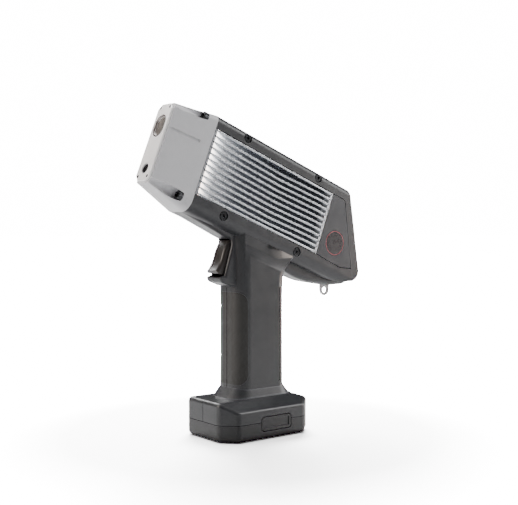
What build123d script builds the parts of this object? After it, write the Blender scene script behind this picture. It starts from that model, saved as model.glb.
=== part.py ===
from build123d import *
import math
import os

# Handheld x-ray fluorescence analyzer: a pistol-grip instrument with a finned head.
#
# World frame, in millimetres: +Z up, the nose points to -Y, +X is the instrument's left side, and
# the origin is the centre of the battery foot's underside. The head is modelled in its own frame,
# where Y runs from the nose joint to the rear (called s), Z is across the head (called t), and is
# then tipped nose up and set on the handle.

os.makedirs("parts", exist_ok=True)

# ---------------------------------------------------------------- driving dimensions
# Head, in its own frame
head_pitch = 21.2            # nose-up angle of the head
head_joint_y = -55.3         # where the nose joint's centre stands in the world
head_joint_z = 222.9
head_half_width = 17.8
head_top = 39.0
head_bottom = -43.0
head_top_radius = 6.0
head_bottom_radius = 10.0
sink_length = 134.2
rear_top_s = sink_length + 18.5     # where the top meets the sloping rear face
rear_lean = 29.8             # rear face, off the head's section plane
rear_low_t = -32.0
rear_heel_s = rear_top_s + 17.3     # the underside's rise towards the rear face
rear_heel_rise = 1.8
rear_heel_start_s = rear_top_s - 6.7
rear_low_radius = 9.0
rear_edge_radius = 2.0
shell_wall = 2.5
keel_half_width = 10.0       # rounded keel under the head
keel_peak_s = rear_top_s - 17.7
keel_drop = 10.0
keel_heel_s = rear_top_s + 14.3
keel_heel_t = -45.8
keel_tail_s = rear_top_s + 29.3
keel_tail_t = -39.5
keel_end_s = rear_top_s + 39.3
keel_end_t = -31.5
keel_edge_radius = 4.0
keel_peak_radius = 80.0

# Nose
nose_length = 38.6
nose_front_half_width = 10.4
nose_front_top = 32.5
nose_front_bottom = -33.2
nose_front_radius = 3.0
plate_thickness = 1.8
plate_chamfer = 4.2
window_t = 13.4
window_width = 11.5
window_height = 16.0
window_rim = 1.5
window_rim_depth = 1.0
film_thickness = 0.3
port_t = -22.5
port_radius = 4.25
lens_radius = 3.4
lens_depth = 1.0
cap_screw_x = 12.8
cap_screw_t = 33.6
cap_channel_radius = 4.3
cap_head_radius = 3.5
cap_head_height = 4.0
cap_shank_radius = 2.0
cap_hex_radius = 1.75
nose_flange = 8.0
plate_screw_x = 6.7
plate_screw_t = 29.0
plate_screw_radius = 1.25
plate_screw_length = 5.0
slot_start_s = -35.0
slot_end_s = -8.7
slot_t = 12.1
slot_height = 2.6
slot_depth = 0.7
tube_t = 22.0
tube_radius = 6.5
detector_t = 5.5
detector_radius = 6.5
capsule_length = 28.0
chamber_depth = 5.0
plate_front_s = -nose_length
plate_back_s = plate_front_s + plate_thickness
capsule_front_s = -capsule_length - 1.0

# Heat sinks and side panels
sink_half_height = 27.6
sink_gap = 0.65
sink_inner_x = 6.5
fin_count = 12
fin_thickness = 1.8
fin_floor_depth = 8.0
fin_dip = 4.0
fin_dip_s = 79.0
fin_dip_end_s = 120.0
front_rim = 1.8
rear_rim = 2.2
floor_run_out = 13.0
flange_half_height = 35.6
flange_thickness = 3.0
flange_outer_x = 13.6
side_screw_s = (32.0, sink_length - 20.5)
side_screw_t = 33.9
side_screw_head_radius = 3.3
side_screw_head_height = 1.5
side_screw_radius = 1.5
side_screw_length = 7.0
side_screw_hex_radius = 1.5
counterbore_radius = 4.1
counterbore_depth = 1.7
side_boss_radius = 4.6
panel_top_s = sink_length + 15.1
panel_low_s = sink_length + 30.3
panel_low_t = -29.2
panel_thickness = 2.2
badge_s = sink_length + 17.5
badge_t = -11.6
badge_radius = 11.0
badge_ring_width = 0.5
badge_depth = 0.8
badge_ring_depth = 0.5

# Chassis and boards
bulkhead_front_s = 0.0
bulkhead_back_s = 4.5
spine_half = 1.25
spine_back_s = sink_length
rear_plate_thickness = 2.5
board_low_x = spine_half + 1.2
board_thickness = 1.6
supply_length = 16.0
board_start_s = 26.0
chip_half_length = 7.0

# Rear bezel and display
bezel_thickness = 3.2
display_half_width = 14.0
display_height = 56.0
display_centre = 36.0        # along the rear face, from its top edge
glass_thickness = 1.2
module_thickness = 3.0
power_radius = 3.6
power_from_top = 70.5
power_travel = 0.8
key_board_height = 11.0

# Handle
handle_front_y = -22.0
handle_rear_y = 27.0
handle_half_width = 17.4
handle_front_radius = 12.0
handle_rear_radius = 8.0
foot_flare = 11.0            # height of the concave foot
foot_side_flare = 9.0
foot_sink = 3.2              # how far the foot reaches down over the base's shoulders
neck_groove_radius = 30.0
neck_groove_x = 46.2
neck_groove_t = -46.5
rear_flare = ((121, 0), (127, 0.3), (132, 1.2), (136.5, 3.6), (140, 6.5), (145, 12.0))   # height, reach
grip_low_z = 42.0
grip_high_z = 118.0
grip_thickness = 1.6
grip_wrap_y = -13.0
strip_low_z = 43.0
strip_high_z = 124.0
strip_wrap_y = 20.0
strip_gap = 0.5
seam_gap = 0.15              # each shell half stops this far from the middle plane
handle_screw_places = ((3.0, 48.0), (3.0, 100.0), (8.0, 129.0))     # y, z
handle_boss_radius = 4.2
handle_screw_radius = 1.5
handle_screw_head_radius = 2.7
handle_screw_head_height = 2.0
handle_counterbore_depth = 2.3
handle_board_y = 12.6
handle_board_half_width = 6.0

# Trigger and its housing
housing_half_width = 10.5
housing_edge_radius = 1.8
housing_top_y = -23.6
housing_low_y = -31.0
housing_chin_y = -36.0
housing_chin_z = 130.4
housing_under_z = 123.0
trigger_half_width = 7.4
trigger_side_gap = 0.4
trigger_edge_radius = 2.4
trigger_top_z = 160.0
trigger_top_y = -24.8
trigger_mid_y = -31.0
trigger_mid_z = 147.5
trigger_mid_lean = 15.0      # how far the blade leans there, off upright
trigger_tip_y = -37.4
trigger_tip_z = 136.0
trigger_low_z = 132.8
trigger_back_y = -16.0
trigger_pin_y = -19.5
trigger_pin_z = 154.5
trigger_pin_radius = 1.5
pin_clearance = 0.05
trigger_travel = 6.0         # degrees

bracket_front_y = -10.0
bracket_thickness = 2.0
trigger_spring_z = 151.5
trigger_spring_span = 12.0
trigger_spring_width = 5.0
switch_z = 139.5
plunger_tip_y = -16.8

# Base and battery pack
base_half_length = 46.0
base_half_width = 33.0
base_corner = 12.0
base_corner_radius = 6.0
seam_z = 14.4
seam_height = 0.6
shoulder_z = 24.0
base_top_z = 31.6
base_flat_half_width = base_half_width - 12.5
rear_slope_y = 33.0
rear_slope_z = 27.0
foot_edge_radius = 4.5
base_edge_radius = 3.2
base_wall = 2.5
case_wall = 2.6
deck_half_width = base_half_width - 5.5
deck_half_length = base_half_length - 8
deck_height = 8.6
deck_wall = 1.6
lid_thickness = 1.5
cell_radius = 9.2
cell_length = 65.0
button_y = 4.0
button_half_length = 15.0
button_low_z = 7.2
button_high_z = 18.0
button_gap = 0.8
button_thickness = 3.4
button_inner_x = base_half_width - button_thickness
button_radius = 2.4
button_dish = 0.7
button_flange_thickness = 1.5
button_travel = 1.5
button_rim = 1.9
spring_seat_x = base_half_width - 11.5
spring_leaf = 0.4
latch_spring_span = 18.0
latch_spring_width = 4.5

# Lanyard tab and port cover under the head
tab_y = 85.4
tab_eye_z = 115.4
tab_width = 10.5
tab_hole_radius = 2.6
tab_thickness = 1.6
tab_root_z = 128.0
port_cover_s = sink_length + 15.8
port_cover_length = 17.0
port_cover_width = 9.0

# Running and seating clearances
seat_gap = 0.2
fit_gap = 0.3

HEAD = Pos(0, head_joint_y, head_joint_z) * Rot(-head_pitch, 0, 0)
SECTION = Plane(origin=(0, 0, 0), x_dir=(1, 0, 0), z_dir=(0, -1, 0))   # x across, t up
SIDE = Plane.YZ                                                         # s or y across, up


# ---------------------------------------------------------------- shared helpers
def rounded_polygon(*corners):
    """A closed outline from (u, v) or (u, v, corner radius)."""
    face = make_face(Polyline(*[corner[:2] for corner in corners], close=True))
    for corner in corners:
        if len(corner) == 3 and corner[2] > 0:
            nearest = face.vertices().sort_by_distance((corner[0], corner[1], 0))[0]
            face = fillet(nearest, corner[2])
    return face


def across(face, low_x, high_x):
    """A side-view outline carried across the instrument from low_x to high_x."""
    return Pos(low_x, 0, 0) * extrude(SIDE * face, amount=high_x - low_x)


def along(face, low_s, high_s):
    """A section carried along the head from low_s to high_s."""
    return Pos(0, high_s, 0) * extrude(SECTION * face, amount=high_s - low_s)


def block(low, high):
    """A box between two corners."""
    size = [b - a for a, b in zip(low, high)]
    centre = [(a + b) / 2 for a, b in zip(low, high)]
    return Pos(*centre) * Box(*size)


def rod(radius, start, end):
    """A round bar between two points."""
    axis = Vector(*end) - Vector(*start)
    return extrude(Plane(origin=start, z_dir=axis) * Circle(radius), amount=axis.length)


def mirrored(shape):
    return mirror(shape, about=Plane.YZ)


def save(shape, name):
    export_step(shape, f"parts/{name}.step")


# ---------------------------------------------------------------- outer forms
def rear_s(t, inset=0):
    """Where the sloping rear face stands at height t."""
    lean = math.radians(rear_lean)
    return rear_top_s + (head_top - t) * math.tan(lean) - inset / math.cos(lean)


def head_section(inset=0):
    half, top, low = head_half_width - inset, head_top - inset, head_bottom + inset
    top_r, low_r = head_top_radius - inset, head_bottom_radius - inset
    return rounded_polygon((-half, low, low_r), (half, low, low_r), (half, top, top_r), (-half, top, top_r))


def head_form(inset=0):
    """The head behind the nose joint: a rounded section cut off by the sloping rear face."""
    top, low = head_top - inset, head_bottom + inset
    corner_t = rear_low_t + 0.9 * inset
    outline = rounded_polygon(
        (0, top), (rear_s(top, inset), top, 3),
        (rear_s(corner_t, inset), corner_t, rear_low_radius - inset),
        (rear_heel_s, low + rear_heel_rise, 50), (rear_heel_start_s, low), (0, low))
    body = along(head_section(inset), 0, rear_s(head_bottom))
    return body & across(outline, -head_half_width, head_half_width)


def keel_form(inset=0):
    """The shallow rounded keel along the head's underside, running out into the rear corner."""
    half, roof, back = keel_half_width - inset, head_bottom + 17, 1.6 * inset
    outline = rounded_polygon(
        (0, roof), (0, head_bottom + inset),
        (keel_peak_s, head_bottom - keel_drop + inset, keel_peak_radius),
        (keel_heel_s - back, keel_heel_t + inset, 30), (keel_tail_s - back, keel_tail_t + inset, 20),
        (keel_end_s - back, keel_end_t + inset), (keel_end_s - back, roof))
    keel = across(outline, -half, half)
    low_edges = keel.edges().filter_by(lambda e: abs(abs(e.center().X) - half) < 0.01
                                       and e.center().Z < keel_end_t - 3)
    return fillet(low_edges, keel_edge_radius - inset / 2)


def handle_section(inset=0, front=0, rear=0, side=0):
    """Plan outline of the handle, grown by front, rear and side."""
    low, high = handle_front_y - front + inset, handle_rear_y + rear - inset
    half = handle_half_width + side - inset
    front_r, rear_r = handle_front_radius - inset, handle_rear_radius - inset
    return rounded_polygon((-half, low, front_r), (half, low, front_r),
                           (half, high, rear_r), (-half, high, rear_r))


def flare_out(height, radius):
    """How far a concave foot of this radius stands out at a height above its toe."""
    if height >= radius:
        return 0
    return radius - math.sqrt(radius ** 2 - (radius - height) ** 2)


def handle_form(inset=0):
    """The column of the handle, from inside the base up into the head."""
    low_z = base_top_z - 3 - 0.6 * inset
    column = Pos(0, 0, low_z) * extrude(handle_section(inset), amount=head_joint_z - 53 - low_z)
    return column - neck_groove(inset)


def handle_flare():
    """The concave run-out at the back of the handle, up into the head's underside."""
    flare = loft([Pos(0, 0, z) * handle_section(0, -8, reach, 0) for z, reach in rear_flare])
    return flare - neck_groove()


def neck_groove(inset=0):
    """The hollows under the head's two sides, where the handle necks in."""
    groove = rod(neck_groove_radius + inset, (neck_groove_x, 0, neck_groove_t),
                 (neck_groove_x, rear_top_s, neck_groove_t))
    groove += block((neck_groove_x - neck_groove_radius - inset, 0, neck_groove_t),
                    (2 * neck_groove_x, rear_top_s, head_bottom + 2 * head_bottom_radius))
    return HEAD * (groove + mirrored(groove))


def handle_foot():
    """The concave foot where the handle runs out into the base's top and its shoulders."""
    steps = 6
    sections = []
    for step in range(steps + 1):
        height = foot_flare * (step / steps) ** 1.5 - foot_sink
        side = flare_out(height + foot_sink, foot_side_flare)
        front = flare_out(max(height, 0), foot_flare - foot_sink)
        sections.append(Pos(0, 0, base_top_z + height) * handle_section(0, front, front, side))
    return loft(sections)


def base_plan(inset=0):
    """Plan outline of the base: a rectangle with its corners cut."""
    w, l, c = base_half_width - inset, base_half_length - inset, base_corner - 0.4 * inset
    r = base_corner_radius
    return rounded_polygon((w - c, -l, r), (w, -l + c, r), (w, l - c, r), (w - c, l, r),
                           (-w + c, l, r), (-w, l - c, r), (-w, -l + c, r), (-w + c, -l, r))


def base_form(inset=0):
    """The base's upper half: side shoulders, a flat top and a sloping rear."""
    w, l = base_half_width, base_half_length
    top, shoulder = base_top_z - inset, shoulder_z - inset
    plan = Pos(0, 0, seam_z) * extrude(base_plan(inset), amount=base_top_z)
    section = rounded_polygon((-w, seam_z), (w, seam_z), (w, shoulder), (base_flat_half_width, top),
                              (-base_flat_half_width, top), (-w, shoulder))
    side = rounded_polygon((-l, seam_z), (l, seam_z), (l, rear_slope_z - inset),
                           (rear_slope_y, top), (-l, top))
    base = plan & along(section, -l, l) & across(side, -w, w)
    if inset:
        return base
    return fillet(base.edges().filter_by(lambda e: e.center().Z > seam_z + 0.5), base_edge_radius)


def housing_form():
    """The trigger housing in front of the handle's top."""
    top_z = trigger_top_z + 8
    outline = rounded_polygon(
        (handle_front_y + 14, top_z), (housing_top_y, top_z), (housing_top_y, trigger_top_z - 4),
        (housing_low_y, housing_chin_z + 1.5), (housing_chin_y, housing_chin_z, 1.2),
        (housing_chin_y + 1.6, housing_under_z + 3.6, 3),
        (handle_front_y - 3, housing_under_z, 3), (handle_front_y + 14, housing_under_z))
    housing = across(outline, -housing_half_width, housing_half_width)
    side_edges = housing.edges().filter_by(lambda e: abs(abs(e.center().X) - housing_half_width) < 0.01)
    return fillet(side_edges, housing_edge_radius)


# ---------------------------------------------------------------- nose
def nose_face(s, half, low, high, low_radius, high_radius):
    face = rounded_polygon((-half, low, low_radius), (half, low, low_radius),
                           (half, high, high_radius), (-half, high, high_radius))
    return Pos(0, s, 0) * (SECTION * face)


def nose_form(inset=0):
    """The tapered block: a narrow front section lofted into the head's full section."""
    front = nose_face(-nose_length, nose_front_half_width - inset, nose_front_bottom + inset,
                      nose_front_top - inset, nose_front_radius, nose_front_radius)
    rear = nose_face(0, head_half_width - inset, head_bottom + inset, head_top - inset,
                     head_bottom_radius, head_top_radius)
    return loft([front, rear], ruled=True)


def cap_screw_places():
    return [(x, t) for x in (-cap_screw_x, cap_screw_x) for t in (-cap_screw_t, cap_screw_t)]


def plate_screw_places():
    return [(x, t) for x in (-plate_screw_x, plate_screw_x) for t in (-plate_screw_t, plate_screw_t)]


def window_outline(grow=0):
    width, height = window_width + 2 * grow, window_height + 2 * grow
    return Pos(0, window_t) * SlotOverall(height, width, rotation=90)


def nose_block():
    body = nose_form() & block((-50, plate_back_s, -60), (50, 0, 60))
    for x, t in cap_screw_places():
        body -= rod(cap_channel_radius, (x, -nose_length - 1, t), (x, -nose_flange, t))
        body -= rod(cap_shank_radius + seat_gap, (x, -nose_flange - 1, t), (x, 1, t))
    for x, t in plate_screw_places():
        body -= rod(plate_screw_radius, (x, plate_back_s, t), (x, plate_front_s + plate_screw_length, t))
    slot = Pos((slot_start_s + slot_end_s) / 2, slot_t) * SlotOverall(slot_end_s - slot_start_s, slot_height)
    body -= across(slot, -40, 40) - nose_form(slot_depth)
    chamber = Pos(0, (tube_t + detector_t) / 2) * SlotOverall(
        tube_t - detector_t + window_width, window_width, rotation=90)
    body -= along(chamber, plate_back_s, plate_back_s + chamber_depth + 3)
    for t, radius in ((tube_t, tube_radius), (detector_t, detector_radius)):
        body -= rod(radius + seat_gap / 2, (0, capsule_front_s, t), (0, 1, t))
    body -= rod(port_radius + 0.8, (0, plate_back_s - 1, port_t), (0, 1, port_t))
    return body


def nose_plate():
    half, c = nose_front_half_width - 0.4, plate_chamfer
    low, high = nose_front_bottom + 0.4, nose_front_top - 0.4
    face = rounded_polygon((-half, low + c), (-half + c, low), (half - c, low), (half, low + c),
                           (half, high - c), (half - c, high), (-half + c, high), (-half, high - c))
    plate = along(face, plate_front_s, plate_back_s)
    plate = chamfer(plate.faces().sort_by(Axis.Y)[0].outer_wire().edges(), 0.4)
    plate -= along(window_outline(), plate_front_s - 1, plate_back_s + 1)
    plate -= along(window_outline(window_rim), plate_front_s - 1, plate_front_s + window_rim_depth)
    plate -= rod(port_radius, (0, plate_front_s - 1, port_t), (0, plate_back_s + 1, port_t))
    for x, t in plate_screw_places():
        plate -= rod(plate_screw_radius, (x, plate_front_s - 1, t), (x, plate_back_s + 1, t))
    return plate


def window_ring():
    ring = along(window_outline(window_rim), plate_front_s + 0.1, plate_front_s + window_rim_depth)
    return ring - along(window_outline(), plate_front_s - 1, plate_back_s)


def window_film():
    return along(window_outline(), plate_back_s - film_thickness, plate_back_s)


def camera_lens():
    """The camera's barrel in the lower port, with a dished front glass."""
    front = plate_front_s + lens_depth
    barrel = rod(port_radius - 0.1, (0, front, port_t), (0, front + 12, port_t))
    dish = Pos(0, front - 2.2 * lens_radius, port_t) * Sphere(2.4 * lens_radius)
    return barrel - dish


def plate_screws():
    screws = []
    for x, t in plate_screw_places():
        screw = rod(plate_screw_radius, (x, plate_front_s + 0.1, t), (x, plate_front_s + plate_screw_length, t))
        screws.append(screw - rod(0.6, (x, plate_front_s - 1, t), (x, plate_front_s + 0.9, t)))
    return Compound(screws)


def cap_screws():
    """Four socket cap screws through the nose flange into the front bulkhead."""
    screws = []
    for x, t in cap_screw_places():
        seat = -nose_flange
        head = rod(cap_head_radius, (x, seat - cap_head_height, t), (x, seat, t))
        head = chamfer(head.edges().sort_by(Axis.Y)[0], 0.35)
        shank = rod(cap_shank_radius, (x, seat, t), (x, bulkhead_back_s, t))
        hexagon = Pos(0, seat - cap_head_height + 2.2, 0) * (
            SECTION * (Pos(x, t) * RegularPolygon(cap_hex_radius, 6)))
        screws.append(head + shank - extrude(hexagon, amount=4))
    return Compound(screws)


def capsule(t, radius):
    """An x-ray tube or a detector can in its bore, with a narrow snout towards the chamber."""
    can = rod(radius, (0, capsule_front_s + 2, t), (0, -0.5, t))
    return can + rod(radius * 0.55, (0, capsule_front_s, t), (0, capsule_front_s + 2, t))


# ---------------------------------------------------------------- chassis and internals

def chassis():
    """Front bulkhead, middle spine with bosses for the heat sinks, and a rear plate."""
    inset = shell_wall + fit_gap
    bulkhead = along(head_section(inset), bulkhead_front_s, bulkhead_back_s)
    spine = block((-spine_half, bulkhead_back_s, -31), (spine_half, spine_back_s, 31))
    rear = along(head_section(inset + 1), spine_back_s, spine_back_s + rear_plate_thickness)
    body = bulkhead + spine + rear
    for s in (16, sink_length - 10):
        for t in (-24, 24):
            body += rod(3, (-sink_inner_x, s, t), (sink_inner_x, s, t))
    for s in (board_start_s + 8, spine_back_s - 30):
        for t in (-16, 16):
            body += rod(1.8, (0, s, t), (board_low_x, s, t))
    for x, t in cap_screw_places():
        body -= rod(cap_shank_radius, (x, -1, t), (x, bulkhead_back_s + 1, t))
    return body


def main_board():
    """Board along the spine with three packages on it."""
    front, half = board_start_s, sink_half_height - 7.6
    length = spine_back_s - board_start_s - 22
    outer = board_low_x + board_thickness
    board = block((board_low_x, front, -half), (outer, front + length, half))
    for share, t in ((0.22, 6), (0.52, -4), (0.82, 7)):
        centre = front + share * length
        board += block((outer, centre - chip_half_length, t - 6),
                       (outer + 1.2, centre + chip_half_length, t + 6))
    return board


def hv_supply():
    """Potted high-voltage supply on the rear plate."""
    front = spine_back_s + rear_plate_thickness
    half = head_half_width - 6.8
    return block((-half, front, head_bottom + 7), (half, front + supply_length, -half / 2))


# ---------------------------------------------------------------- heat sink and side panel (left)
def fin_places():
    pitch = (2 * sink_half_height - fin_thickness) / (fin_count - 1)
    return [-sink_half_height + fin_thickness / 2 + index * pitch for index in range(fin_count)]


def heat_sink():
    """Dished fins between two rims, on a flange that the side screws clamp."""
    x, front, rear = head_half_width, sink_gap, sink_length
    behind = bulkhead_back_s + fit_gap
    deep = x - fin_floor_depth
    floor = make_face(
        Polyline((rear - rear_rim, x), (rear, x), (rear, sink_inner_x), (behind, sink_inner_x),
                 (behind, x - shell_wall), (front, x - shell_wall), (front, x), (front + front_rim, x))
        + Polyline((front + front_rim, x), (fin_dip_s, deep - 1),
                   (rear - rear_rim - floor_run_out, deep + 2.5))
        + SagittaArc((rear - rear_rim - floor_run_out, deep + 2.5), (rear - rear_rim, x), 0.8))
    body = extrude(as_plan(floor), amount=sink_half_height, both=True)
    for index, t in enumerate(fin_places()):
        outermost = index in (0, fin_count - 1)
        dip = 0 if outermost else fin_dip
        crest = make_face(Polyline(
            (front + 0.5, x), (front + front_rim, x), (fin_dip_s, x - dip), (fin_dip_end_s, x),
            (rear - 0.5, x), (rear - 0.5, deep - 1), (behind, deep - 1),
            (behind, x - 1), (front + 0.5, x - 1), close=True))
        body += Pos(0, 0, t) * extrude(as_plan(crest), amount=fin_thickness / 2, both=True)
    flange = block((flange_outer_x - flange_thickness, 12, -flange_half_height),
                   (flange_outer_x, sink_length - 8, flange_half_height))
    body += flange
    for s in side_screw_s:
        for t in (-side_screw_t, side_screw_t):
            body -= rod(side_screw_radius, (0, s, t), (20, s, t))
    return body


def as_plan(face):
    """A face drawn as (s, x) turned into the plane seen from above, x across."""
    return Plane(origin=(0, 0, 0), x_dir=(0, 1, 0), z_dir=(0, 0, -1)) * face


def panel_outline(grow=0):
    """Outline of the side panel behind the heat sink."""
    slope = math.tan(math.radians(rear_lean - 1.5))
    front, top = sink_length + sink_gap, sink_half_height + grow
    low_t = -sink_half_height - grow
    tail_t = -25.6
    tail_s = panel_top_s + (sink_half_height - tail_t) * slope
    edge = grow / math.cos(math.atan(slope))
    return rounded_polygon(
        (front - grow, low_t), (front - grow, top), (panel_top_s - grow * slope + edge, top, 3),
        (tail_s + edge, tail_t - grow, 1.2), (panel_low_s, panel_low_t - grow, 6))


def side_panel():
    body = across(panel_outline(), head_half_width - panel_thickness, head_half_width)
    pocket = Pos(badge_s, badge_t) * Circle(badge_radius + 0.15)
    return body - across(pocket, head_half_width - badge_depth, head_half_width + 1)


def badge():
    inner = badge_radius - badge_ring_width
    disc = across(Pos(badge_s, badge_t) * Circle(badge_radius), head_half_width - badge_depth, head_half_width)
    groove = Pos(badge_s, badge_t) * (Circle(inner + 0.0) - Circle(inner - badge_ring_width))
    return disc - across(groove, head_half_width - badge_ring_depth, head_half_width + 1)


def badge_ring():
    inner = badge_radius - badge_ring_width
    ring = Pos(badge_s, badge_t) * (Circle(inner) - Circle(inner - badge_ring_width))
    return across(ring, head_half_width - badge_ring_depth, head_half_width - 0.05)


# ---------------------------------------------------------------- shells
def bezel_region():
    """Side-view region that belongs to the rear bezel."""
    slope = math.tan(math.radians(rear_lean - 1.5))
    start_s = panel_top_s + sink_gap / math.cos(math.atan(slope)) + 0.1
    split_t = sink_half_height + sink_gap + 0.3
    end_t = -60
    return rounded_polygon(
        (sink_length + sink_gap, 60), (sink_length + sink_gap, split_t),
        (start_s - (split_t - sink_half_height) * slope, split_t),
        (start_s + (sink_half_height - end_t) * slope, end_t), (260, end_t), (260, 60))


def side_openings():
    """Windows in the shell for a heat sink and its side panel, left side."""
    sink = block((5, -1, -sink_half_height - sink_gap),
                 (head_half_width + 1, sink_length + sink_gap + 0.5, sink_half_height + sink_gap))
    return sink + across(panel_outline(sink_gap), 5, head_half_width + 1)


def left_side(shape):
    """The part of a form on the left of the parting plane."""
    return shape & block((seam_gap, -400, -400), (80, 400, 400))


def handle_bosses():
    """Left halves of the tubes that the handle's screws draw together."""
    wall_x = handle_half_width - shell_wall - grip_thickness + 0.5
    bosses = [rod(handle_boss_radius, (seam_gap, y, z), (wall_x, y, z)) for y, z in handle_screw_places]
    return bosses[0] + bosses[1:]


def body_half():
    """Left half of the moulding: head, keel, handle, trigger housing and base top, hollowed."""
    bezel = across(bezel_region(), -60, 60)
    head = HEAD * (left_side(head_form()) - bezel + (left_side(keel_form()) - bezel))
    grip = left_side(handle_form()) + left_side(base_form()) + left_side(handle_foot())
    outer = head + (grip + left_side(housing_form()) + left_side(handle_flare()))
    outer -= HEAD * (left_side(head_form(shell_wall)) + left_side(head_mouth()))
    outer -= HEAD * left_side(keel_room())
    outer -= left_side(base_form(base_wall))
    return outer - left_side(handle_room()) + handle_bosses()


def head_mouth():
    """The shell is open at the nose, where the front bulkhead fills it."""
    return along(head_section(shell_wall), -1, bulkhead_back_s)


def keel_room():
    """The keel's hollow, stopped short at the nose and at the rear."""
    return keel_form(shell_wall) & block((-50, 14, -80), (50, keel_heel_s, 80))


def handle_room():
    """The hollow of the handle, from the base's room up into the head's."""
    return handle_form(shell_wall + grip_thickness)


def trigger_slot():
    """Open mouth for the trigger, and the well it moves back into."""
    half = trigger_half_width + trigger_side_gap
    swing = (trigger_pin_z - trigger_low_z) * math.sin(math.radians(trigger_travel))
    return block((-half, housing_chin_y - 10, housing_chin_z),
                 (half, trigger_back_y + swing + 1.7, trigger_top_z + 1.5))


def grip_outline(low_y, high_y, low_z, high_z, corner=0):
    return rounded_polygon((low_y, low_z), (high_y, low_z, corner), (high_y, high_z, corner), (low_y, high_z))


def front_grip_zone(grow=0):
    """Everything in front of the crease where the front grip panel ends."""
    outline = grip_outline(handle_front_y - 10, grip_wrap_y + grow, grip_low_z - grow, grip_high_z + grow, 9)
    return across(outline, -40, 40)


def rear_strip_zone(grow=0):
    outline = grip_outline(handle_rear_y + 10, strip_wrap_y - grow, strip_low_z - grow, strip_high_z + grow)
    return across(outline, -40, 40)


def grip_skin(clearance=0):
    """The outer skin of the handle's left half, as thick as the soft grip panels."""
    low_z, high_z = base_top_z + foot_flare, housing_under_z + 12
    skin = extrude(handle_section(), amount=high_z - low_z)
    skin -= extrude(handle_section(grip_thickness - clearance), amount=high_z - low_z)
    return left_side(Pos(0, 0, low_z) * skin)


def side_screw_places():
    return [(s, t) for s in side_screw_s for t in (-side_screw_t, side_screw_t)]


def shell_half():
    """The left half of the moulding with its screw bosses and openings."""
    half = body_half() - HEAD * side_openings()
    for s, t in side_screw_places():
        boss = rod(side_boss_radius, (flange_outer_x, s, t), (head_half_width - 1, s, t))
        half += HEAD * (boss & head_form())
        bore = rod(counterbore_radius, (head_half_width - counterbore_depth, s, t), (30, s, t))
        bore += rod(side_screw_radius + seat_gap, (0, s, t), (30, s, t))
        half -= HEAD * bore
    half -= trigger_slot()
    half -= rod(trigger_pin_radius, (0, trigger_pin_y, trigger_pin_z),
                (housing_half_width - 1.2, trigger_pin_y, trigger_pin_z))
    half -= front_grip_zone(0.05) & grip_skin()
    half -= rear_strip_zone(strip_gap) & grip_skin()
    half -= button_notch()
    half -= lanyard_slot()
    return half - HEAD * port_recess()


def screw_holes(half, radius, counterbore=0):
    """Bore the handle's bosses, and sink the screw heads on the side that takes them."""
    for y, z in handle_screw_places:
        half -= rod(radius, (0, y, z), (handle_half_width + 1 if counterbore else handle_half_width - 4, y, z))
        if counterbore:
            half -= rod(counterbore, (handle_half_width - handle_counterbore_depth, y, z),
                        (handle_half_width + 1, y, z))
    return half


def handle_screws():
    """Socket-head screws from the right that draw the two halves together."""
    screws = []
    for y, z in handle_screw_places:
        seat = -handle_half_width + handle_counterbore_depth
        screw = rod(handle_screw_head_radius, (seat - handle_screw_head_height, y, z), (seat, y, z))
        screw += rod(handle_screw_radius, (seat, y, z), (10, y, z))
        hexagon = Pos(y, z) * RegularPolygon(1.25, 6)
        screws.append(screw - across(hexagon, seat - 5, seat - 0.8))
    return screws


def handle_board():
    """Board that carries the current from the pack's contacts up to the head."""
    low_z, high_z = base_top_z + 2.4, strip_high_z + 26
    return block((-handle_board_half_width, handle_board_y, low_z),
                 (handle_board_half_width, handle_board_y + board_thickness, high_z))


def button_outline(grow=0):
    """Rounded outline of the left release button, seen from its side."""
    half, height = button_half_length + grow, button_high_z - button_low_z + 2 * grow
    return Pos(button_y, (button_low_z + button_high_z) / 2) * RectangleRounded(
        2 * half, height, button_radius + grow)


def button_notch():
    """Opening for the button through the base and the pack, as deep as the button travels."""
    return across(button_outline(button_gap), button_inner_x - button_travel - fit_gap, base_half_width + 5)


def lanyard_slot():
    """Half of the pocket on the parting plane that traps the lanyard tab."""
    half = tab_thickness / 2 + 0.02
    grown = tab_width / 2 + 0.02
    return block((-half, tab_y - grown, tab_eye_z + 3), (half, tab_y + grown, tab_root_z + 0.02))


def lanyard_tab():
    """A steel tab on the parting plane: a rounded eye below, a plain root above."""
    width, eye = tab_width / 2, tab_eye_z
    plate = Pos(tab_y, eye) * Circle(width) + Pos(tab_y, (eye + tab_root_z) / 2) * Rectangle(
        tab_width, tab_root_z - eye)
    plate -= Pos(tab_y, eye) * Circle(tab_hole_radius)
    return across(plate, -tab_thickness / 2, tab_thickness / 2)


def port_outline(grow=0):
    return SlotOverall(port_cover_length + 2 * grow, port_cover_width + 2 * grow, rotation=90)


def port_recess():
    """Oval opening in the keel for the data port's cover."""
    low = head_bottom - keel_drop - 5
    plane = Plane(origin=(0, port_cover_s, low), z_dir=(0, 0, 1))
    return extrude(plane * port_outline(0.15), amount=keel_drop + 5 + shell_wall - 1)


def port_cover():
    plane = Plane(origin=(0, port_cover_s, head_bottom - keel_drop - 5), z_dir=(0, 0, 1))
    plug = extrude(plane * port_outline(), amount=keel_drop + 5 + shell_wall - 1)
    return plug & keel_form(0.5)


def front_grip():
    """Soft panel on the front of the handle, left half."""
    return front_grip_zone(-0.05) & grip_skin(0.05)


def rear_strip():
    """Soft strip down the back of the handle, left half."""
    return rear_strip_zone() & grip_skin(0.05)


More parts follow.
